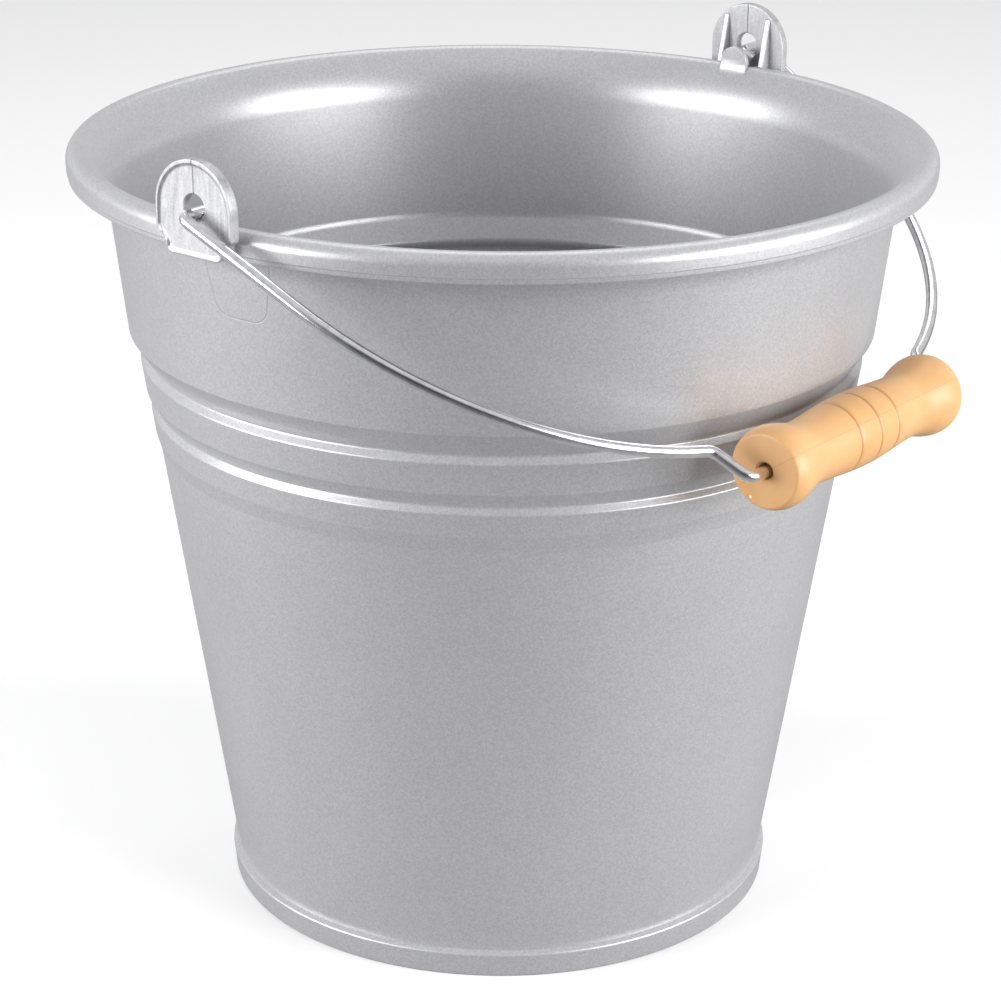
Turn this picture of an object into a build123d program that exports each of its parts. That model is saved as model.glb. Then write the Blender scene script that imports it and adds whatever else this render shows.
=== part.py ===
from build123d import *
import os
from math import cos, sin, radians

# Bucket with a wire bail and a threaded grip.
# Origin: centre of the foot on the floor, +Z up. The ears stand at +X and -X,
# and the bail leans down towards -Y.

# wall of the moulding
wall = 2.4                 # wall thickness everywhere
foot_radius = 98.6         # outside of the foot ring at the floor
foot_flare = 0.9           # the ring is this much wider at its top
foot_height = 8.6
foot_width = 2.8
base_underside = 6.2       # the base plate is raised inside the foot ring
base_thickness = 2.8
base_corner = 4.0          # rounding between the floor inside and the wall
lower_radius = 97.4        # lower wall just above the foot ring
band_taper = 0.145         # radius gained per millimetre of height on the bands

# two raised bands and the shoulder, each measured at its lower corner
low_band_radius, low_band_z, low_band_height = 122.9, 173.2, 8.0
high_band_radius, high_band_z, high_band_height = 125.6, 188.6, 10.8
shoulder_radius, shoulder_z = 130.9, 210.4
band_corner = 0.9
collar_radius, collar_z = 136.2, 256.0   # where the collar starts to flare into the rim

# rolled rim
rim_radius = 150.0
rim_bead = 4.3             # outside radius of the rolled edge
rim_top = 274.7
lip_bottom = 265.3

# ears
ear_x = 151.3              # inside face of the ear plate
ear_thickness = 3.0
ear_half_width = 16.0
ear_top = 296.5
tongue_half_width = 12.5   # the ear narrows below the crown of the rim
tongue_corner = 4.0
border_width = 2.4
border_height = 0.7
hole_radius = 4.25
hole_z = 281.2
gusset_y = 9.2             # middle of each gusset
gusset_thickness = 2.0
gusset_top = 292.0
slot_half_width = 7.6      # slot through the rim between ear plate and guard tab
tab_x = 142.3              # inside face of the guard tab
tab_thickness = 2.0
tab_half_width = 5.75
tab_top = 281.6
tab_foot = 268.8

# bail
wire_radius = 2.0
pivot_z = 279.25           # wire centre, low in the larger ear hole
bail_droop = 29.1          # degrees below level
hook_x = 148.2             # hooked tip, between ear plate and guard tab
hook_length = 5.6
leg_x = 159.9
bend_radius = 2.6
leg_end = (153.4, 45.0)    # the leg turns into the sweep
sweep_end = (66.0, 149.5)  # the sweep turns into the kink
kink_run = 4.5
kink_radius = 4.0
seat_x = 59.0              # the wire lines up with the bore of the grip
grip_drop = 165.6          # grip axis, measured down the bail from the pivot line

# grip
grip_half_length = 51.0
face_radius = 12.3
bulb_x, bulb_radius = 45.5, 13.9
waist_x, waist_radius = 30.0, 11.0
barrel_radius = 12.5
grip_bore_radius = 2.8
bore_chamfer = 0.7
groove_pitch = 11.5
groove_depth = 0.55


def band_corners():
    """Corners of the bands and the shoulder on the outside, from the lower wall upwards."""
    return [
        (low_band_radius - 1.7, low_band_z - 5.8),
        (low_band_radius, low_band_z),
        (low_band_radius + band_taper * low_band_height, low_band_z + low_band_height),
        (low_band_radius - 0.3, low_band_z + low_band_height + 2.4),
        (high_band_radius, high_band_z),
        (high_band_radius + band_taper * high_band_height, high_band_z + high_band_height),
        (high_band_radius - 0.4, high_band_z + high_band_height + 2.6),
        (shoulder_radius, shoulder_z),
    ]


def wall_outline():
    """Outside of the wall, from the foot up and over the rolled rim."""
    bead = rim_bead - wall
    bead_x = rim_radius - rim_bead
    bead_z = rim_top - rim_bead
    with BuildLine() as outline:
        climb = Polyline(
            (lower_radius - 0.8, foot_height - 4.5), *band_corners(), (collar_radius, collar_z)
        )
        flare = TangentArc(
            climb @ 1, (bead_x - 0.66 * bead, bead_z + 0.75 * bead), tangent=climb % 1
        )
        crown = TangentArc(flare @ 1, (bead_x + bead, bead_z), tangent=flare % 1)
        Line(crown @ 1, (rim_radius - wall - 0.2, lip_bottom))
    return outline.wire()


def make_shell():
    """Wall, rim, raised base plate and foot ring, turned about +Z."""
    section = make_face(offset(wall_outline(), amount=wall, side=Side.LEFT).edges())
    corners = [section.vertices().sort_by_distance(point)[0] for point in band_corners()]
    shell = revolve(Plane.XZ * fillet(corners, band_corner), Axis.Z)
    foot = make_face(
        Polyline(
            (foot_radius - foot_width, 0),
            (foot_radius, 0),
            (foot_radius + foot_flare, foot_height),
            (lower_radius, foot_height + 0.9),
            (lower_radius - 1.2, foot_height + 0.9),
            (foot_radius - foot_width, 0),
        )
    )
    shell += revolve(Plane.XZ * foot, Axis.Z)
    base_top = base_underside + base_thickness
    shell += Pos(0, 0, base_underside) * Cylinder(
        lower_radius - 0.8, base_thickness, align=(Align.CENTER, Align.CENTER, Align.MIN)
    )
    rings = shell.edges().filter_by(GeomType.CIRCLE)
    inside_corner = rings.filter_by(
        lambda edge: abs(edge.center().Z - base_top) < 0.2 and edge.radius < lower_radius - 1.0
    )
    shell = fillet(inside_corner, base_corner)
    outer_foot = shell.edges().filter_by(GeomType.CIRCLE).filter_by(
        lambda edge: abs(edge.center().Z) < 0.01 and abs(edge.radius - foot_radius) < 0.01
    )
    return fillet(outer_foot, 0.7)


def ear_profile(inset):
    """Outline of an ear seen along X: a dome above the rim and a narrower tongue below it."""
    dome_z = ear_top - ear_half_width
    crown_z = rim_top - rim_bead + 1.0
    upper = Pos(0, (dome_z + crown_z) / 2) * Rectangle(
        2 * (ear_half_width - inset), dome_z - crown_z
    )
    dome = Pos(0, dome_z) * Circle(ear_half_width - inset)
    tongue = Pos(0, (dome_z + lip_bottom) / 2) * Rectangle(
        2 * (tongue_half_width - inset), dome_z - lip_bottom - inset
    )
    low_corners = tongue.vertices().group_by(Axis.Y)[0]
    return upper + dome + fillet(low_corners, tongue_corner)


def make_ear():
    """Ear at +X with its border, gussets, hole and the pad that joins it to the rim."""
    face = Plane.YZ.offset(ear_x)
    ear = extrude(face * ear_profile(0), ear_thickness)
    border = ear_profile(0) - ear_profile(border_width)
    ear += extrude(Plane.YZ.offset(ear_x + ear_thickness) * border, border_height)
    pad_z = (lip_bottom + rim_top) / 2 - 1.2
    ear += Pos(ear_x - 1.0, 0, pad_z) * Box(
        4.2, 2 * tongue_half_width, rim_top - lip_bottom - 2.4
    )
    gusset = make_face(
        Polyline(
            (ear_x + 0.5, gusset_top),
            (ear_x - 5.2, rim_top + 0.8),
            (ear_x - 5.2, rim_top - 2.0),
            (ear_x + 0.5, rim_top - 2.0),
            (ear_x + 0.5, gusset_top),
        )
    )
    for side in (-1, 1):
        ear += Pos(0, side * gusset_y, 0) * extrude(
            Plane.XZ * gusset, gusset_thickness / 2, both=True
        )
    return ear


def make_guard_tab():
    """Thin tombstone tab inside the rim that keeps the hook from backing out."""
    profile = make_face(
        Polyline(
            (tab_x + tab_thickness, tab_top),
            (tab_x, tab_top),
            (tab_x, rim_top - 0.2),
            (tab_x - 2.7, tab_foot),
            (tab_x - 1.4, tab_foot - 0.9),
            (tab_x + tab_thickness, rim_top - 2.6),
            (tab_x + tab_thickness, tab_top),
        )
    )
    slab = extrude(Plane.XZ * profile, tab_half_width, both=True)
    outline = Pos(0, tab_top - tab_half_width) * Circle(tab_half_width)
    outline += Pos(0, (tab_top - tab_half_width + tab_foot) / 2) * Rectangle(
        2 * tab_half_width, tab_top - tab_half_width - tab_foot
    )
    return slab & extrude(Plane.YZ.offset(tab_x - 6) * outline, 12)


def make_bucket():
    slot_start = tab_x + tab_thickness
    slot = Pos((slot_start + ear_x) / 2, 0, 283) * Box(
        ear_x - slot_start, 2 * slot_half_width, 40
    )
    hole = Plane.YZ.offset(ear_x - 1) * Pos(0, hole_z) * extrude(Circle(hole_radius), 8)
    ear = make_ear()
    tab = make_guard_tab()
    bucket = make_shell() + ear + tab + mirror(ear + tab, about=Plane.YZ)
    bucket -= slot + hole
    bucket -= mirror(slot + hole, about=Plane.YZ)
    return bucket


def bail_plane():
    """Plane of the bail: x along the pivot line, y down the bail."""
    tilt = radians(bail_droop)
    return Plane(origin=(0, 0, pivot_z), x_dir=(1, 0, 0), z_dir=(0, sin(tilt), -cos(tilt)))


def make_bail():
    with BuildLine() as half:
        hook = FilletPolyline(
            (hook_x, hook_length), (hook_x, 0), (leg_x, 0), leg_end, radius=bend_radius
        )
        sweep_line = TangentArc(hook @ 1, sweep_end, tangent=hook % 1)
        kink = sweep_line @ 1 + (sweep_line % 1) * kink_run
        FilletPolyline(
            sweep_line @ 1, kink, (seat_x, grip_drop), (0, grip_drop), radius=kink_radius
        )
    route = bail_plane() * half.wire()
    section = Plane(origin=route @ 0, z_dir=route % 0) * Circle(wire_radius)
    side = sweep(section, path=route)
    return side + mirror(side, about=Plane.YZ)


def make_grip():
    """Dog-bone grip turned about its bore, with three fine V grooves."""
    with BuildSketch() as half:
        with BuildLine():
            face = Line((grip_half_length, 0), (grip_half_length, face_radius - 2.4))
            edge = TangentArc(
                face @ 1, (grip_half_length - 1.6, face_radius), tangent=face % 1
            )
            back = Spline(
                edge @ 1,
                (bulb_x, bulb_radius),
                (waist_x + 7.0, (bulb_radius + waist_radius) / 2 + 0.2),
                (waist_x, waist_radius),
                (groove_pitch + 9.0, waist_radius + 0.85),
                (0, barrel_radius),
                tangents=(edge % 1, (-1, 0)),
            )
            Line(back @ 1, (0, 0))
            Line((0, 0), (grip_half_length, 0))
        make_face()
    turned = revolve(half.sketch, Axis.X)
    grip = turned + mirror(turned, about=Plane.YZ)
    grip -= Rot(0, 90, 0) * Cylinder(grip_bore_radius, 2 * grip_half_length + 2)
    mouths = grip.edges().filter_by(GeomType.CIRCLE).filter_by(
        lambda e: abs(e.radius - grip_bore_radius) < 0.01
    )
    grip = chamfer(mouths, bore_chamfer)
    notch = make_face(
        Polyline(
            (-0.8, barrel_radius + 0.2),
            (0, barrel_radius - groove_depth),
            (0.8, barrel_radius + 0.2),
            (-0.8, barrel_radius + 0.2),
        )
    )
    for place in (-groove_pitch, 0, groove_pitch):
        grip -= revolve(Pos(place, 0) * notch, Axis.X)
    return grip


bucket = make_bucket()
bail_wire = make_bail()
grip = bail_plane() * Pos(0, grip_drop, 0) * make_grip()

if __name__ == "__main__":
    os.makedirs("parts", exist_ok=True)
    export_step(bucket, "parts/bucket.step")
    export_step(bail_wire, "parts/bail_wire.step")
    export_step(grip, "parts/grip.step")
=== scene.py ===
import math
import bpy
from mathutils import Matrix, Vector


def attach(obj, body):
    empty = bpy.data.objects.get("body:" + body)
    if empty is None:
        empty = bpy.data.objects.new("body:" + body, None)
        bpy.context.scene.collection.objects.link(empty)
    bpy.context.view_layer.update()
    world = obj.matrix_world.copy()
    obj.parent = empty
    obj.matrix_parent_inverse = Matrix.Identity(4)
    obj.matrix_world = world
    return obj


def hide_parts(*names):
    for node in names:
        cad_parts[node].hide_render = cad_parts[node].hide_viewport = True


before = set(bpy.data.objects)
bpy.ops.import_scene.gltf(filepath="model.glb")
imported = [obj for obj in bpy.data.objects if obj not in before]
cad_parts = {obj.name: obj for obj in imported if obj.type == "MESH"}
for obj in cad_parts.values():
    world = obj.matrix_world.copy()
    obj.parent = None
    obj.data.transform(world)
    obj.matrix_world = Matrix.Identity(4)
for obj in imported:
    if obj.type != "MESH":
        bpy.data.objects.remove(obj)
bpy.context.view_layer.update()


# ---------------------------------------------------------------------------------------------
# Camera, light and floor.
# The camera looks down on the bucket from beyond the ear at -X, on the side the bail leans to.
# A white room with large soft lights at both sides stands around a plain pale floor.
camera_distance = 1.0181      # from the bucket's axis, level
camera_height = 0.5253
camera_bearing = math.radians(-52.12)
camera_pitch = math.radians(21.2)
camera_roll = math.radians(0.35)
camera_side = Vector((math.sin(camera_bearing), -math.cos(camera_bearing), 0))

eye = bpy.data.objects.new("camera", bpy.data.cameras.new("camera"))
bpy.context.scene.collection.objects.link(eye)
eye.location = camera_side * camera_distance + Vector((0, 0, camera_height))
eye.matrix_world = (
    Matrix.Translation(eye.location)
    @ Matrix.Rotation(camera_bearing, 4, "Z")
    @ Matrix.Rotation(math.pi / 2 - camera_pitch, 4, "X")
    @ Matrix.Rotation(camera_roll, 4, "Z")
)
eye.data.lens = 108.25
eye.data.shift_y = 0.0237
eye.data.clip_start = 0.05
eye.data.clip_end = 60
bpy.context.scene.camera = eye
bpy.context.scene.view_settings.view_transform = "Standard"

room = bpy.data.worlds.new("white_room")
bpy.context.scene.world = room
room.use_nodes = True
sky = room.node_tree.nodes
wire_up = room.node_tree.links.new
direction = sky.new("ShaderNodeTexCoord")
toward_camera = sky.new("ShaderNodeVectorMath")
toward_camera.operation = "DOT_PRODUCT"
toward_camera.inputs[1].default_value = camera_side
wire_up(direction.outputs["Generated"], toward_camera.inputs[0])
room_shade = sky.new("ShaderNodeValToRGB")
room_shade.color_ramp.elements[0].position = 0.60
room_shade.color_ramp.elements[0].color = (1, 1, 1, 1)
room_shade.color_ramp.elements[1].position = 0.92
room_shade.color_ramp.elements[1].color = (0.10, 0.10, 0.105, 1)
wire_up(toward_camera.outputs["Value"], room_shade.inputs["Fac"])
wire_up(room_shade.outputs["Color"], sky["Background"].inputs["Color"])
sky["Background"].inputs["Strength"].default_value = 0.62


def soft_light(name, bearing, height, distance, width, tall, power):
    """A large light panel that faces the bucket, bearing degrees round from the camera."""
    lamp = bpy.data.objects.new(name, bpy.data.lights.new(name, "AREA"))
    bpy.context.scene.collection.objects.link(lamp)
    turn = camera_bearing + math.radians(bearing)
    lamp.location = (distance * math.sin(turn), -distance * math.cos(turn), height)
    aim = Vector((0, 0, 0.15)) - lamp.location
    lamp.rotation_euler = aim.to_track_quat("-Z", "Y").to_euler()
    lamp.data.shape = "RECTANGLE"
    lamp.data.size = width
    lamp.data.size_y = tall
    lamp.data.energy = power


soft_light("right_softbox", 63, 0.42, 1.6, 1.3, 1.1, 38)
soft_light("left_softbox", -69, 0.42, 1.6, 1.3, 1.1, 34)
soft_light("top_softbox", 175, 1.9, 1.1, 1.6, 1.2, 9)

bpy.ops.object.select_all(action="DESELECT")
bpy.ops.mesh.primitive_plane_add(size=24)
floor = bpy.context.object
floor.name = "floor"
floor_paint = bpy.data.materials.new("pale_floor")
floor_paint.use_nodes = True
paint = floor_paint.node_tree.nodes["Principled BSDF"]
paint.inputs["Roughness"].default_value = 0.9
paint.inputs["Specular IOR Level"].default_value = 0.1
# the floor is seen pale, and the bucket is lit by a greyer one that darkens towards the camera
floor_nodes = floor_paint.node_tree.nodes
floor_link = floor_paint.node_tree.links.new
floor_place = floor_nodes.new("ShaderNodeTexCoord")
in_front = floor_nodes.new("ShaderNodeVectorMath")
in_front.operation = "DOT_PRODUCT"
in_front.inputs[1].default_value = camera_side
floor_link(floor_place.outputs["Object"], in_front.inputs[0])
bounced = floor_nodes.new("ShaderNodeMapRange")
for socket, value in (("From Min", 0.16), ("From Max", 0.50), ("To Min", 0.32), ("To Max", 0.11)):
    bounced.inputs[socket].default_value = value
floor_link(in_front.outputs["Value"], bounced.inputs["Value"])
seen_or_bounced = floor_nodes.new("ShaderNodeLightPath")
paint_shade = floor_nodes.new("ShaderNodeMix")
paint_shade.inputs["B"].default_value = 0.95
floor_link(seen_or_bounced.outputs["Is Camera Ray"], paint_shade.inputs["Factor"])
floor_link(bounced.outputs["Result"], paint_shade.inputs["A"])
floor_link(paint_shade.outputs["Result"], paint.inputs["Base Color"])
floor.data.materials.append(floor_paint)


# ---------------------------------------------------------------------------------------------
# The bucket's moulding: wall, stepped bands, shoulder, collar, rolled rim and foot ring.
# One injection moulding in plastic filled with metal flake. It is drawn as the section through
# one side and spun round the axis.
wall = 0.0024
foot_radius, foot_inside = 0.0986, 0.0958
base_underside, base_top = 0.0062, 0.0090
low_wall_radius, low_wall_z = 0.09741, 0.0095
low_band_radius, low_band_z, low_band_height = 0.1229, 0.1732, 0.0080
high_band_radius, high_band_z, high_band_height = 0.1256, 0.1886, 0.0108
shoulder_radius, shoulder_z = 0.1309, 0.2104
collar_radius, collar_z = 0.1362, 0.2560
band_taper = 0.145
rim_radius, rim_bead, rim_top, lip_bottom = 0.1500, 0.0043, 0.2747, 0.2653
lip_edge = 0.0016             # the narrow band at the foot of the lip
around = 224                  # steps round the bucket


def draw_line(name, points):
    """A chain of edges through the points, drawn by extruding one vertex, left in edit mode."""
    bpy.ops.object.select_all(action="DESELECT")
    bpy.ops.mesh.primitive_plane_add(size=0.001)
    piece = bpy.context.object
    piece.name = piece.data.name = name
    bpy.ops.object.mode_set(mode="EDIT")
    bpy.ops.mesh.select_mode(type="VERT")
    bpy.ops.mesh.merge(type="CENTER")
    bpy.ops.transform.translate(value=points[0])
    for last, point in zip(points, points[1:]):
        step = Vector(point) - Vector(last)
        bpy.ops.mesh.extrude_region_move(TRANSFORM_OT_translate={"value": step})
    return piece


def pick(piece, wanted, kind="vertices"):
    """Selects the vertices, edges or faces of the piece for which wanted(centre) is true."""
    bpy.ops.mesh.select_mode(type={"vertices": "VERT", "edges": "EDGE", "polygons": "FACE"}[kind])
    bpy.ops.mesh.select_all(action="DESELECT")
    bpy.ops.object.mode_set(mode="OBJECT")
    corners = [v.co.copy() for v in piece.data.vertices]
    for item in getattr(piece.data, kind):
        spots = [item.co] if kind == "vertices" else [corners[i] for i in item.vertices]
        item.select = all(wanted(spot) for spot in spots)
    bpy.ops.object.mode_set(mode="EDIT")


def round_corner(piece, corner, radius, steps=5):
    """Rounds the corner of a chain of edges to the radius."""
    bpy.ops.object.mode_set(mode="OBJECT")
    spots = [v.co.copy() for v in piece.data.vertices]
    nearest = min(range(len(spots)), key=lambda i: (spots[i] - Vector(corner)).length)
    ends = [v for e in piece.data.edges if nearest in e.vertices for v in e.vertices if v != nearest]
    arms = [spots[v] - spots[nearest] for v in ends]
    half_turn = (math.pi - arms[0].angle(arms[1])) / 2
    bpy.ops.object.mode_set(mode="EDIT")
    pick(piece, lambda spot: (spot - spots[nearest]).length < 1e-7)
    bpy.ops.mesh.bevel(
        offset=radius * math.tan(half_turn), segments=steps, affect="VERTICES", clamp_overlap=False
    )


def face_outwards(piece):
    """Merges doubled vertices and turns every face of a closed piece outwards."""
    bpy.ops.mesh.select_mode(type="VERT")
    bpy.ops.mesh.select_all(action="SELECT")
    bpy.ops.mesh.remove_doubles(threshold=0.000005)
    bpy.ops.mesh.select_all(action="SELECT")
    bpy.ops.mesh.normals_make_consistent(inside=False)
    bpy.ops.object.mode_set(mode="OBJECT")
    middle = sum((v.co for v in piece.data.vertices), Vector()) / len(piece.data.vertices)
    volume = sum((p.center - middle).dot(p.normal) * p.area for p in piece.data.polygons)
    bpy.ops.object.mode_set(mode="EDIT")
    if volume < 0:
        bpy.ops.mesh.select_all(action="SELECT")
        bpy.ops.mesh.flip_normals()


def arc(centre, radius, start, end, steps):
    """Points of an arc in the section's plane, (radius, height), from one angle to another."""
    angles = [math.radians(start + (end - start) * i / steps) for i in range(steps + 1)]
    return [(centre[0] + radius * math.cos(a), centre[1] + radius * math.sin(a)) for a in angles]


def inward(points, thickness):
    """The corners of the other face of a wall of even thickness, on the left of the line."""
    moved = []
    for i, (x, z) in enumerate(points):
        before = Vector(points[max(i, 1)]) - Vector(points[max(i, 1) - 1])
        after = Vector(points[min(i + 1, len(points) - 1)]) - Vector(points[min(i, len(points) - 2)])
        left = Vector((-before.y, before.x)).normalized() + Vector((-after.y, after.x)).normalized()
        left = left.normalized()
        stretch = thickness / left.dot(Vector((-before.y, before.x)).normalized())
        moved.append((x + left.x * stretch, z + left.y * stretch))
    return moved


steps_outside = [
    (low_wall_radius, low_wall_z),
    (low_band_radius - 0.0017, low_band_z - 0.0058),
    (low_band_radius, low_band_z),
    (low_band_radius + band_taper * low_band_height, low_band_z + low_band_height),
    (low_band_radius - 0.0003, low_band_z + low_band_height + 0.0024),
    (high_band_radius, high_band_z),
    (high_band_radius + band_taper * high_band_height, high_band_z + high_band_height),
    (high_band_radius - 0.0004, high_band_z + high_band_height + 0.0026),
    (shoulder_radius, shoulder_z),
    (collar_radius, collar_z),
]
steps_inside = inward(steps_outside, wall)
climb = (Vector(steps_outside[-1]) - Vector(steps_outside[-2])).normalized()
bead_x, bead_z = rim_radius - rim_bead, rim_top - rim_bead
flare_radius = 0.0250
flare_centre = (collar_radius + flare_radius * climb.y, collar_z - flare_radius * climb.x)
flare_start = 180 - math.degrees(math.atan2(climb.x, climb.y))
flare_end = 131.5
section = (
    [(0, base_underside - 0.0007), (0.0018, base_underside - 0.0007), (0.0024, base_underside)]
    + [(foot_inside + 0.0003, base_underside), (foot_inside, 0), (foot_radius, 0)]
    + [(foot_radius + 0.0009, 0.0086)]
    + steps_outside[:-1]
    + arc(flare_centre, flare_radius, flare_start, flare_end, 10)
    + arc((bead_x, bead_z), rim_bead - wall, flare_end, 0, 8)[1:]
    + [(rim_radius - wall - 0.0002, lip_bottom), (rim_radius - 0.0005, lip_bottom)]
    + [(rim_radius - 0.0004, lip_bottom + lip_edge)]
    + [(rim_radius - 0.0001, lip_bottom + lip_edge + 0.0004)]
    + arc((bead_x, bead_z), rim_bead, 0, flare_end, 14)
    + arc(flare_centre, flare_radius + wall, flare_end, flare_start, 10)[1:]
    + steps_inside[-2:0:-1]
    + [(low_wall_radius - wall - 0.0001, base_top), (0, base_top)]
)
moulding = draw_line("bucket_moulding", [(r, 0, z) for r, z in section])
for r, z in steps_outside[1:-1]:
    round_corner(moulding, (r, 0, z), 0.0010, 4)
for r, z in steps_inside[1:-2]:
    round_corner(moulding, (r, 0, z), 0.0022, 4)
round_corner(moulding, (steps_inside[-2][0], 0, steps_inside[-2][1]), 0.0060, 7)
round_corner(moulding, (low_wall_radius - wall - 0.0001, 0, base_top), 0.0045, 6)
for r, z in ((foot_radius, 0), (foot_inside, 0)):
    round_corner(moulding, (r, 0, z), 0.0006, 3)
round_corner(moulding, (foot_radius + 0.0009, 0, 0.0086), 0.0008, 3)
round_corner(moulding, (rim_radius - 0.0005, 0, lip_bottom), 0.0004, 3)
bpy.ops.mesh.select_all(action="SELECT")
bpy.ops.mesh.spin(steps=around, angle=2 * math.pi, center=(0, 0, 0), axis=(0, 0, 1))
face_outwards(moulding)
bpy.ops.object.mode_set(mode="OBJECT")


# ---------------------------------------------------------------------------------------------
# The two ears, moulded in one with the rim: a domed plate with a raised border and a dished
# face, a tongue down over the lip, two gussets behind, and the guard tab inside the rim.
ear_x, ear_thickness = 0.1513, 0.0030
ear_half_width, ear_top = 0.0160, 0.2965
ear_waist_z = 0.2714
tongue_half_width, tongue_corner = 0.0125, 0.0040
border_width, border_height = 0.0024, 0.0007
edge_softening = 0.00045
hole_radius, hole_z, hole_softening = 0.00425, 0.2812, 0.0004
gusset_y, gusset_top, gusset_reach = 0.0092, 0.2920, 0.0052
tab_x, tab_thickness, tab_half_width = 0.1423, 0.0020, 0.00575
tab_top, tab_foot, tab_lean = 0.2816, 0.2688, 0.0027
slot_half_width = 0.0076


def apply_modifier(piece, kind, **settings):
    """Adds one modifier to the piece and applies it."""
    bpy.ops.object.select_all(action="DESELECT")
    bpy.context.view_layer.objects.active = piece
    piece.select_set(True)
    added = piece.modifiers.new(kind.lower(), kind)
    for name, value in settings.items():
        setattr(added, name, value)
    bpy.ops.object.modifier_apply(modifier=added.name)


def soften_edges(piece, width, sharper_than=38):
    """Rounds every edge of the piece that turns more than so many degrees."""
    apply_modifier(
        piece, "BEVEL", width=width, segments=3, limit_method="ANGLE",
        angle_limit=math.radians(sharper_than),
    )


def combine(piece, other, operation):
    """Adds the other solid to the piece, or cuts it away, and removes the other."""
    apply_modifier(piece, "BOOLEAN", object=other, operation=operation, solver="EXACT")
    bpy.data.objects.remove(other)


def block(low, high):
    """A box between two corners."""
    bpy.ops.object.select_all(action="DESELECT")
    bpy.ops.mesh.primitive_cube_add(size=1)
    box = bpy.context.object
    bpy.ops.object.mode_set(mode="EDIT")
    bpy.ops.mesh.select_all(action="SELECT")
    bpy.ops.transform.resize(value=[h - l for l, h in zip(low, high)])
    bpy.ops.transform.translate(value=[(h + l) / 2 for l, h in zip(low, high)])
    bpy.ops.object.mode_set(mode="OBJECT")
    return box


def upright_outline(name, x, half_width, top, stations, steps=20):
    """A plate's outline that faces X: a half-round top, then straight pieces down through stations."""
    dome_z = top - half_width
    dome = arc((0, dome_z), half_width, 180, 0, 2 * steps)
    left = [(-y, z) for y, z in reversed(stations)]
    piece = draw_line(name, [(x, y, z) for y, z in left + dome + stations])
    pick(piece, lambda spot: spot.z < stations[-1][1] + 1e-6)
    bpy.ops.mesh.edge_face_add()
    return piece


def close_plate(piece):
    """Fills a drawn outline and leaves its face selected."""
    bpy.ops.mesh.select_mode(type="VERT")
    bpy.ops.mesh.select_all(action="SELECT")
    bpy.ops.mesh.edge_face_add()
    bpy.ops.mesh.select_mode(type="FACE")


def make_plate(piece, thickness, softening):
    """Thickens a drawn outline along +X and softens the edges of both faces."""
    close_plate(piece)
    bpy.ops.mesh.extrude_region_move(TRANSFORM_OT_translate={"value": (thickness, 0, 0)})
    face_outwards(piece)
    near = min(v.co.x for v in piece.data.vertices)
    for at in (near, near + thickness):
        pick(piece, lambda spot: abs(spot.x - at) < thickness / 4, "polygons")
        bpy.ops.mesh.inset(thickness=0.3 * softening, depth=0.6 * softening)
        bpy.ops.mesh.inset(thickness=0.7 * softening, depth=0.4 * softening)
    bpy.ops.object.mode_set(mode="OBJECT")


ear_shoulder, ear_waist = ear_waist_z + 0.0012, ear_waist_z - 0.0012
ear = upright_outline(
    "ear",
    ear_x + edge_softening,
    ear_half_width,
    ear_top,
    [(ear_half_width, ear_shoulder), (tongue_half_width, ear_waist), (tongue_half_width, lip_bottom)],
)
for side in (-1, 1):
    round_corner(ear, (ear_x, side * ear_half_width, ear_shoulder), 0.0012, 4)
    round_corner(ear, (ear_x, side * tongue_half_width, ear_waist), 0.0012, 4)
    round_corner(ear, (ear_x, side * tongue_half_width, lip_bottom), tongue_corner, 7)
make_plate(ear, ear_thickness + border_height - 2 * edge_softening, edge_softening)

# the dish is cut with a tapered punch, which leaves the border standing round it
dish_low = lip_bottom + 0.8 * border_width
dish_wide = ear_half_width - border_width
dish_narrow = tongue_half_width - border_width
dish_shoulder, dish_waist = ear_waist_z + 0.0020, ear_waist_z - 0.0016
dish = upright_outline(
    "dish",
    ear_x + ear_thickness,
    dish_wide,
    ear_top - border_width,
    [(dish_wide, dish_shoulder), (dish_narrow, dish_waist), (dish_narrow, dish_low)],
)
for side in (-1, 1):
    round_corner(dish, (ear_x, side * dish_wide, dish_shoulder), 0.0030, 4)
    round_corner(dish, (ear_x, side * dish_narrow, dish_waist), 0.0030, 4)
    round_corner(dish, (ear_x, side * dish_narrow, dish_low), 0.0025, 5)
close_plate(dish)
for rise, swell in ((0.00025, 1.05), (0.00045, 1.045), (0.0008, 1.05)):
    bpy.ops.mesh.extrude_region_move(TRANSFORM_OT_translate={"value": (rise, 0, 0)})
    bpy.ops.transform.resize(
        value=(1, swell, swell), center_override=(ear_x, 0, (ear_top + dish_low) / 2)
    )
face_outwards(dish)
bpy.ops.object.mode_set(mode="OBJECT")
combine(ear, dish, "DIFFERENCE")
pad = block(
    (ear_x - 0.0031, -tongue_half_width, lip_bottom + 0.0012),
    (ear_x + 0.0012, tongue_half_width, rim_top - 0.0012),
)
combine(ear, pad, "UNION")
for side in (-1, 1):
    gusset = block(
        (ear_x - gusset_reach, side * gusset_y - 0.0010, rim_top - 0.0022),
        (ear_x + 0.0005, side * gusset_y + 0.0010, gusset_top),
    )
    bpy.ops.object.mode_set(mode="EDIT")
    pick(gusset, lambda spot: spot.x < ear_x - 0.001 and spot.z > gusset_top - 0.001)
    bpy.ops.transform.translate(value=(gusset_reach - 0.0004, 0, 0))
    bpy.ops.object.mode_set(mode="OBJECT")
    soften_edges(gusset, 0.0004)
    combine(ear, gusset, "UNION")
drill_overrun = 0.0020         # how far the drill stands out of the plate on either side
drill_mouth = hole_radius + drill_overrun + hole_softening
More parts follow.
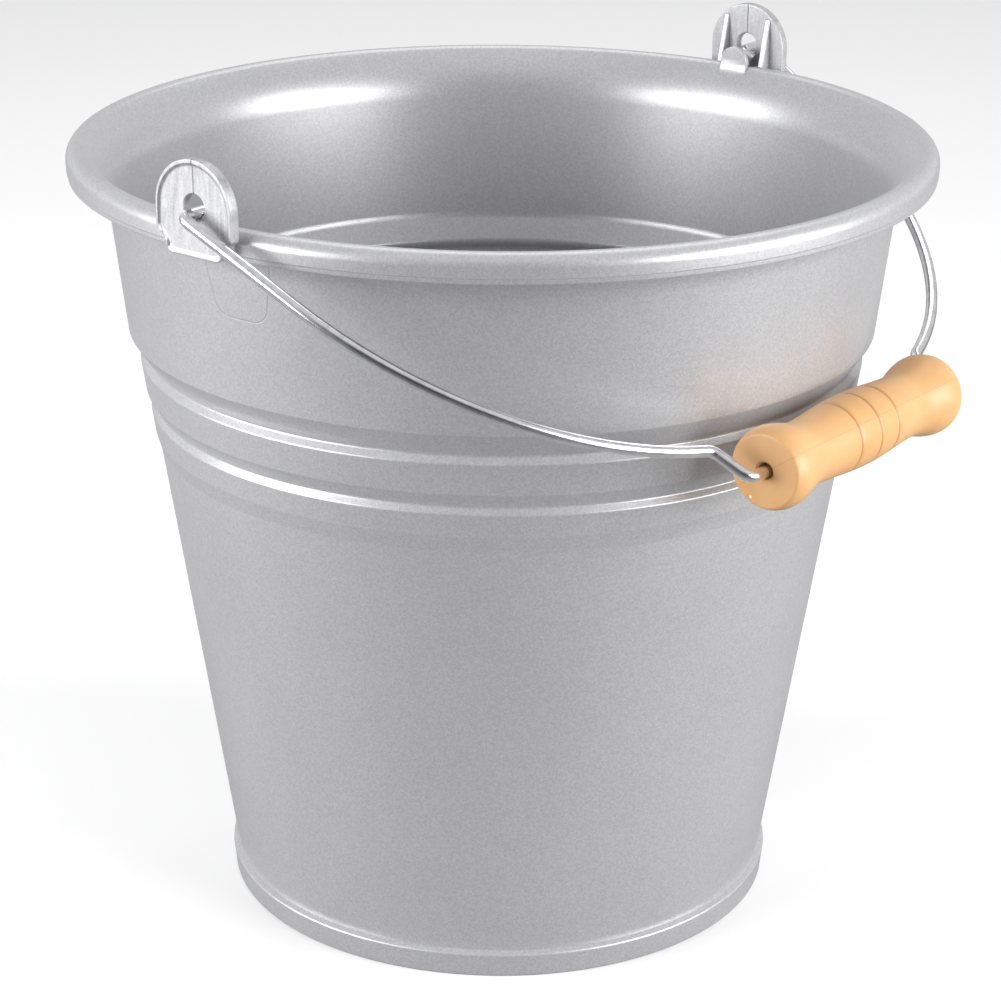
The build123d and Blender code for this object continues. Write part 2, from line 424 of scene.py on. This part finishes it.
drill_section = [
    (ear_x - drill_overrun, 0),
    (ear_x - drill_overrun, drill_mouth),
    (ear_x + hole_softening, hole_radius),
    (ear_x + ear_thickness - hole_softening, hole_radius),
    (ear_x + ear_thickness + drill_overrun, drill_mouth),
    (ear_x + ear_thickness + drill_overrun, 0),
]
drill = draw_line("drill", [(x, 0, hole_z + r) for x, r in drill_section])
bpy.ops.mesh.select_all(action="SELECT")
bpy.ops.mesh.spin(steps=64, angle=2 * math.pi, center=(ear_x, 0, hole_z), axis=(1, 0, 0))
face_outwards(drill)
bpy.ops.object.mode_set(mode="OBJECT")
combine(ear, drill, "DIFFERENCE")

tab = upright_outline(
    "guard_tab", tab_x, tab_half_width, tab_top, [(tab_half_width, rim_top - 0.0002)], 12
)
close_plate(tab)
pick(tab, lambda spot: spot.z < rim_top, "edges")
bpy.ops.mesh.extrude_region_move(
    TRANSFORM_OT_translate={"value": (-tab_lean, 0, tab_foot - rim_top + 0.0002)}
)
for side in (-1, 1):
    pick(tab, lambda spot: spot.z < tab_foot + 0.0001 and spot.y * side > 0)
    bpy.ops.mesh.bevel(offset=0.0024, segments=5, affect="VERTICES")
bpy.ops.mesh.select_all(action="SELECT")
bpy.ops.mesh.normals_make_consistent(inside=False)
bpy.ops.object.mode_set(mode="OBJECT")
facing = sum(p.normal.x * p.area for p in tab.data.polygons)
apply_modifier(tab, "SOLIDIFY", thickness=tab_thickness, offset=1 if facing > 0 else -1)
soften_edges(tab, 0.0003, 50)


def other_end(piece):
    """A copy of the piece for the ear at -X, turned half round the bucket's axis."""
    copy = piece.copy()
    copy.data = piece.data.copy()
    bpy.context.scene.collection.objects.link(copy)
    copy.data.transform(Matrix.Rotation(math.pi, 4, "Z"))
    return copy


slot_start = tab_x + tab_thickness
slot = block((slot_start, -slot_half_width, 0.262), (ear_x, slot_half_width, 0.300))
for cutter in (other_end(slot), slot):
    combine(moulding, cutter, "DIFFERENCE")
for added in (other_end(ear), ear, other_end(tab), tab):
    combine(moulding, added, "UNION")
bpy.ops.object.select_all(action="DESELECT")
moulding.select_set(True)
bpy.context.view_layer.objects.active = moulding
bpy.ops.object.shade_smooth_by_angle(angle=math.radians(32))
apply_modifier(moulding, "WEIGHTED_NORMAL", keep_sharp=True, weight=50)


def new_finish(name, **sockets):
    """A material with its Principled shader's sockets set, its node tree and that shader."""
    made = bpy.data.materials.new(name)
    made.use_nodes = True
    tree = made.node_tree
    shader = tree.nodes["Principled BSDF"]
    for socket, value in sockets.items():
        shader.inputs[socket.replace("_", " ")].default_value = value
    return made, tree, shader


def node(tree, kind, inputs=None, **settings):
    """A node with its settings, and each input either a plain value or another node's output."""
    made = tree.nodes.new(kind)
    for name, value in settings.items():
        setattr(made, name, value)
    for name, value in (inputs or {}).items():
        if isinstance(value, bpy.types.NodeSocket):
            tree.links.new(value, made.inputs[name])
        else:
            made.inputs[name].default_value = value
    return made


def sums(tree, operation, a, b=0.0, c=0.0):
    """The output of a Math node."""
    return node(tree, "ShaderNodeMath", {0: a, 1: b, 2: c}, operation=operation).outputs[0]


def band(tree, value, middle, half_width):
    """1 where value is within half_width of middle, fading to 0."""
    away = sums(tree, "ABSOLUTE", sums(tree, "SUBTRACT", value, middle))
    return node(
        tree, "ShaderNodeMapRange",
        {"Value": away, "From Min": half_width * 0.4, "From Max": half_width,
         "To Min": 1.0, "To Max": 0.0},
    ).outputs[0]


silver, tree, shader = new_finish(
    "silver_flake_plastic", Metallic=0.40, Coat_Weight=0.20, Coat_Roughness=0.20
)
place = node(tree, "ShaderNodeTexCoord").outputs["Object"]
apart = node(tree, "ShaderNodeSeparateXYZ", {0: place})
x, y, z = apart.outputs
out_x = sums(tree, "ABSOLUTE", x)
flakes = node(tree, "ShaderNodeTexVoronoi", {"Vector": place, "Scale": 1900.0})
flake_value = node(tree, "ShaderNodeSeparateColor", {0: flakes.outputs["Color"]}).outputs[0]
grain = node(tree, "ShaderNodeTexNoise", {"Vector": place, "Scale": 900.0, "Detail": 2.0})
cloud = node(tree, "ShaderNodeTexNoise", {"Vector": place, "Scale": 22.0, "Detail": 3.0})
# flow marks run up the ears from the rim
stretched = node(tree, "ShaderNodeMapping", {"Vector": place, "Scale": (120.0, 420.0, 70.0)})
flow = node(
    tree, "ShaderNodeTexNoise",
    {"Vector": stretched.outputs[0], "Scale": 1.0, "Detail": 3.0, "Distortion": 1.4},
).outputs[0]
on_ear = sums(
    tree, "MULTIPLY",
    node(tree, "ShaderNodeMapRange", {"Value": out_x, "From Min": 0.1505, "From Max": 0.1520}).outputs[0],
    node(tree, "ShaderNodeMapRange", {"Value": z, "From Min": 0.262, "From Max": 0.274}).outputs[0],
)
# the weld line where the plastic met above the hole
wander = sums(tree, "MULTIPLY", sums(tree, "SUBTRACT", flow, 0.5), 0.0008)
weld = band(tree, sums(tree, "ADD", y, wander), 0.0, 0.00026)
weld = sums(tree, "MULTIPLY", weld, sums(tree, "GREATER_THAN", z, hole_z + 0.002))
weld = sums(tree, "MULTIPLY", weld, sums(tree, "GREATER_THAN", out_x, ear_x - 0.001))
# the outline of the mould insert on the wall below each ear: straight sides and rounded low corners, a
# fine groove in the bump that is darkened with painted shade
insert_top, insert_drop, insert_half_width = 0.2620, 0.0165, 0.0095
insert_taper, insert_corner, insert_line = 0.20, 0.0050, 0.00036
insert_low = sums(tree, "SUBTRACT", insert_top, z)
insert_side = sums(
    tree, "ADD", sums(tree, "ABSOLUTE", y), sums(tree, "MULTIPLY", insert_low, insert_taper)
)
drop = sums(tree, "MAXIMUM", sums(tree, "SUBTRACT", insert_low, insert_drop), 0.0)
aside = sums(tree, "MAXIMUM", sums(tree, "SUBTRACT", insert_side, insert_half_width), 0.0)
corner_reach = sums(
    tree, "SQRT",
    sums(tree, "ADD", sums(tree, "MULTIPLY", drop, drop), sums(tree, "MULTIPLY", aside, aside)),
)
insert = band(tree, corner_reach, insert_corner, insert_line)
insert = sums(tree, "MULTIPLY", insert, sums(tree, "GREATER_THAN", out_x, 0.115))
insert = sums(tree, "MULTIPLY", insert, sums(tree, "LESS_THAN", z, 0.2645))
insert = sums(tree, "MULTIPLY", insert, sums(tree, "GREATER_THAN", z, 0.230))
reach = sums(tree, "SQRT", sums(tree, "ADD", sums(tree, "MULTIPLY", x, x), sums(tree, "MULTIPLY", y, y)))
collar_slope = (collar_radius - shoulder_radius) / (collar_z - shoulder_z)
wall_middle = sums(
    tree, "MULTIPLY_ADD", z, collar_slope, shoulder_radius - wall / 2 - collar_slope * shoulder_z
)
on_outside = sums(tree, "GREATER_THAN", reach, wall_middle)
insert = sums(tree, "MULTIPLY", insert, sums(tree, "MULTIPLY_ADD", on_outside, 0.75, 0.25))
shade = sums(tree, "MULTIPLY_ADD", flake_value, 0.20, 0.89)
shade = sums(tree, "MULTIPLY", shade, sums(tree, "MULTIPLY_ADD", cloud.outputs[0], 0.08, 0.96))
flow_shade = sums(tree, "MULTIPLY", on_ear, sums(tree, "MULTIPLY_ADD", flow, 0.7, -0.175))
shade = sums(tree, "MULTIPLY", shade, sums(tree, "SUBTRACT", 1.0, flow_shade))
shade = sums(tree, "MULTIPLY", shade, sums(tree, "SUBTRACT", 1.0, sums(tree, "MULTIPLY", weld, 0.5)))
# painted shade along the insert's groove
shade = sums(tree, "MULTIPLY", shade, sums(tree, "SUBTRACT", 1.0, sums(tree, "MULTIPLY", insert, 0.22)))
silver_colour = node(
    tree, "ShaderNodeMix", {0: 1.0, 6: (0.52, 0.52, 0.535, 1.0), 7: shade},
    data_type="RGBA", blend_type="MULTIPLY",
)
tree.links.new(silver_colour.outputs[2], shader.inputs["Base Color"])
gloss = sums(tree, "MULTIPLY_ADD", cloud.outputs[0], 0.10, 0.30)
gloss = sums(tree, "ADD", gloss, sums(tree, "MULTIPLY", on_ear, sums(tree, "MULTIPLY", flow, 0.12)))
tree.links.new(gloss, shader.inputs["Roughness"])
height = sums(tree, "MULTIPLY_ADD", flake_value, 0.10, sums(tree, "MULTIPLY", grain.outputs[0], 0.18))
height = sums(tree, "SUBTRACT", height, sums(tree, "MULTIPLY", weld, 1.4))
height = sums(tree, "SUBTRACT", height, sums(tree, "MULTIPLY", insert, 0.5))
height = sums(tree, "ADD", height, sums(tree, "MULTIPLY", on_ear, sums(tree, "MULTIPLY", flow, 0.9)))
relief = node(tree, "ShaderNodeBump", {"Strength": 1.0, "Distance": 0.00007, "Height": height})
tree.links.new(relief.outputs[0], shader.inputs["Normal"])
moulding.data.materials.clear()
moulding.data.materials.append(silver)
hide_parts("bucket")
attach(moulding, "body")


# ---------------------------------------------------------------------------------------------
# The bail: one length of bright zinc-plated steel wire, bent cold. Each end hooks through an
# ear, and a kink at each side lines the middle up with the bore of the grip.
wire_radius = 0.0020
pivot_z = 0.27925
bail_droop = math.radians(29.1)
hook_x, hook_length = 0.1482, 0.0056
leg_x, leg_end = 0.1599, (0.1534, 0.0450)
bend_radius = 0.0026
sweep_end = (0.0660, 0.1495)
kink_run, kink_radius = 0.0045, 0.0040
seat_x, grip_drop = 0.0590, 0.1656


def bail_point(across, down):
    """A point in the bail's plane: across along the pivot line, down along the bail."""
    return Vector((across, -down * math.cos(bail_droop), pivot_z - down * math.sin(bail_droop)))


sweep_from = Vector(leg_end)
heading = (sweep_from - Vector((leg_x, 0))).normalized()
chord = Vector(sweep_end) - sweep_from
normal = Vector((-heading.y, heading.x))
sweep_radius = chord.length_squared / (2 * chord.dot(normal))
sweep_centre = sweep_from + normal * sweep_radius
start_angle = math.degrees(math.atan2(*(sweep_from - sweep_centre).yx))
end_angle = math.degrees(math.atan2(*(Vector(sweep_end) - sweep_centre).yx))
sweep = arc(sweep_centre, abs(sweep_radius), start_angle, end_angle, 40)
leaving = (Vector(sweep_end) - sweep_centre).normalized()
leaving = Vector((-leaving.y, leaving.x)) * (1 if sweep_radius > 0 else -1)
kink = Vector(sweep_end) + leaving * kink_run
half = [(hook_x, hook_length), (hook_x, 0), (leg_x, 0)] + sweep + [tuple(kink), (seat_x, grip_drop)]
route = half + [(-across, down) for across, down in reversed(half)]
bail = draw_line("bail_wire_bent", [bail_point(*point) for point in route])
for side in (-1, 1):
    for across, down, radius in (
        (hook_x, 0, bend_radius), (leg_x, 0, bend_radius),
        (kink[0], kink[1], kink_radius), (seat_x, grip_drop, kink_radius),
    ):
        round_corner(bail, bail_point(side * across, down), radius, 8)
bpy.ops.object.mode_set(mode="OBJECT")
bpy.ops.object.convert(target="CURVE")
bail = bpy.context.object
bail.data.dimensions = "3D"
bail.data.bevel_depth = wire_radius
bail.data.bevel_resolution = 8
bail.data.use_fill_caps = True
bpy.ops.object.convert(target="MESH")
bail = bpy.context.object
bpy.ops.object.mode_set(mode="EDIT")
face_outwards(bail)
bpy.ops.object.mode_set(mode="OBJECT")
soften_edges(bail, 0.0004, 60)
bpy.ops.object.shade_smooth_by_angle(angle=math.radians(40))

plated, tree, shader = new_finish("zinc_plated_wire", Metallic=1.0)
place = node(tree, "ShaderNodeTexCoord").outputs["Object"]
spangle = node(tree, "ShaderNodeTexNoise", {"Vector": place, "Scale": 260.0, "Detail": 3.0})
dull = node(tree, "ShaderNodeTexNoise", {"Vector": place, "Scale": 45.0, "Detail": 2.0})
tint = node(tree, "ShaderNodeValToRGB", {"Fac": spangle.outputs[0]})
tint.color_ramp.elements[0].position = 0.30
tint.color_ramp.elements[0].color = (0.76, 0.76, 0.77, 1)
tint.color_ramp.elements[1].position = 0.62
tint.color_ramp.elements[1].color = (0.94, 0.94, 0.95, 1)
tree.links.new(tint.outputs[0], shader.inputs["Base Color"])
tree.links.new(sums(tree, "MULTIPLY_ADD", dull.outputs[0], 0.14, 0.11), shader.inputs["Roughness"])
draw_marks = node(
    tree, "ShaderNodeBump", {"Strength": 0.5, "Distance": 0.00004, "Height": spangle.outputs[0]}
)
tree.links.new(draw_marks.outputs[0], shader.inputs["Normal"])
bail.data.materials.clear()
bail.data.materials.append(plated)
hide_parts("bail_wire")
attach(bail, "bail")


# ---------------------------------------------------------------------------------------------
# The grip: a dog-bone handle moulded in plain tan plastic and shaped like turned wood, threaded
# on the wire. A fine parting line runs along both sides and across the ends.
half_length, face_radius = 0.0510, 0.0123
bulb_at, bulb_radius = 0.0455, 0.0139
waist_at, waist_radius, barrel_radius = 0.0300, 0.0110, 0.0125
bore_radius, bore_lip = 0.0028, 0.0007
groove_pitch, groove_depth, groove_half = 0.0115, 0.00055, 0.0008
centre = bail_point(0, grip_drop)


def eased(share):
    """A smooth step from 0 to 1."""
    return share * share * (3 - 2 * share)


def grip_radius(along):
    """The grip's outside radius at a distance from its middle."""
    if along < waist_at:
        radius = barrel_radius + (waist_radius - barrel_radius) * eased(along / waist_at) ** 1.15
    elif along < bulb_at:
        share = eased((along - waist_at) / (bulb_at - waist_at))
        radius = waist_radius + (bulb_radius - waist_radius) * share
    else:
        past = (along - bulb_at) / (half_length - bulb_at)
        radius = bulb_radius - (bulb_radius - face_radius) * past ** 2.2
    return radius


def groove_cut(along):
    """How deep the nearest of the three V grooves is at that place."""
    near = min(abs(abs(along) - place) for place in (0, groove_pitch))
    return groove_depth * max(0.0, 1 - near / groove_half)


stations = sorted(
    {round(i * half_length / 60, 6) for i in range(61)}
    | {place + share * groove_half for place in (0, groove_pitch) for share in (0, 0.5, 1)}
)
skin = [(s, grip_radius(s) - groove_cut(s)) for s in stations]
side_line = [(half_length, bore_radius + bore_lip), (half_length - bore_lip, bore_radius)]
half_skin = skin + side_line
whole = [(-s, r) for s, r in reversed(half_skin)] + half_skin[1:]
grip = draw_line("threaded_grip", [(s, centre.y, centre.z + r) for s, r in whole])
for side in (-1, 1):
    round_corner(grip, (side * half_length, centre.y, centre.z + face_radius), 0.0012, 5)
pick(
    grip,
    lambda spot: abs(abs(spot.x) - half_length + bore_lip) < 1e-6
    and spot.z < centre.z + bore_radius + 1e-6,
)
bpy.ops.mesh.edge_face_add()
bpy.ops.mesh.select_all(action="SELECT")
bpy.ops.mesh.spin(steps=96, angle=2 * math.pi, center=centre, axis=(1, 0, 0))
face_outwards(grip)
bpy.ops.object.mode_set(mode="OBJECT")
bpy.ops.object.shade_smooth_by_angle(angle=math.radians(35))

tan, tree, shader = new_finish(
    "tan_moulded_plastic", Subsurface_Weight=0.08, Subsurface_Scale=0.004,
    Coat_Weight=0.08, Coat_Roughness=0.25,
)
place = node(tree, "ShaderNodeTexCoord").outputs["Object"]
from_axis = node(tree, "ShaderNodeVectorMath", {0: place, 1: centre}, operation="SUBTRACT").outputs[0]
apart = node(tree, "ShaderNodeSeparateXYZ", {0: from_axis})
x, y, z = apart.outputs
parting_lean = math.radians(34.2)
off_seam = sums(
    tree, "ADD",
    sums(tree, "MULTIPLY", y, math.sin(parting_lean)),
    sums(tree, "MULTIPLY", z, math.cos(parting_lean)),
)
seam = band(tree, off_seam, 0.0, 0.00014)
along = sums(tree, "ABSOLUTE", x)
from_middle = node(tree, "ShaderNodeCombineXYZ", {0: along, 1: y, 2: z}).outputs[0]
gate_at = (half_length, 0.0048, -0.0095)   # the gate mark on each end face
from_gate = node(
    tree, "ShaderNodeVectorMath", {0: from_middle, 1: gate_at}, operation="DISTANCE"
).outputs["Value"]
gate = node(
    tree, "ShaderNodeMapRange",
    {"Value": from_gate, "From Min": 0.0004, "From Max": 0.0006, "To Min": 1.0, "To Max": 0.0},
).outputs[0]
# the V grooves are also darkened in colour with painted shade; the parting line is a thin darker line
groove = sums(
    tree, "MAXIMUM",
    band(tree, along, 0.0, groove_half * 0.8),
    band(tree, along, groove_pitch, groove_half * 0.8),
)
swirl = node(
    tree, "ShaderNodeTexNoise", {"Vector": place, "Scale": 60.0, "Detail": 3.0, "Distortion": 0.6}
)
pores = node(tree, "ShaderNodeTexNoise", {"Vector": place, "Scale": 1400.0, "Detail": 2.0})
tone = node(tree, "ShaderNodeValToRGB", {"Fac": swirl.outputs[0]})
tone.color_ramp.elements[0].position = 0.30
tone.color_ramp.elements[0].color = (0.68, 0.375, 0.155, 1)
tone.color_ramp.elements[1].position = 0.70
tone.color_ramp.elements[1].color = (0.75, 0.435, 0.195, 1)
# painted shade in the grooves, and the darker parting line, mixed into the tan
groove_shade_and_seam = sums(tree, "MAXIMUM", sums(tree, "MULTIPLY", groove, 0.55), sums(tree, "MULTIPLY", seam, 0.35))
shaded = node(
    tree, "ShaderNodeMix", {0: groove_shade_and_seam, 6: tone.outputs[0], 7: (0.42, 0.20, 0.06, 1)},
    data_type="RGBA", blend_type="MIX",
)
dotted = node(
    tree, "ShaderNodeMix", {0: gate, 6: shaded.outputs[2], 7: (0.95, 0.85, 0.65, 1)},
    data_type="RGBA", blend_type="MIX",
)
tree.links.new(dotted.outputs[2], shader.inputs["Base Color"])
tree.links.new(sums(tree, "MULTIPLY_ADD", swirl.outputs[0], 0.12, 0.36), shader.inputs["Roughness"])
skin_height = sums(
    tree, "ADD", sums(tree, "MULTIPLY", pores.outputs[0], 0.12), sums(tree, "MULTIPLY", seam, 0.8)
)
relief = node(tree, "ShaderNodeBump", {"Strength": 1.0, "Distance": 0.00006, "Height": skin_height})
tree.links.new(relief.outputs[0], shader.inputs["Normal"])
grip.data.materials.clear()
grip.data.materials.append(tan)
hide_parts("grip")
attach(grip, "handle")
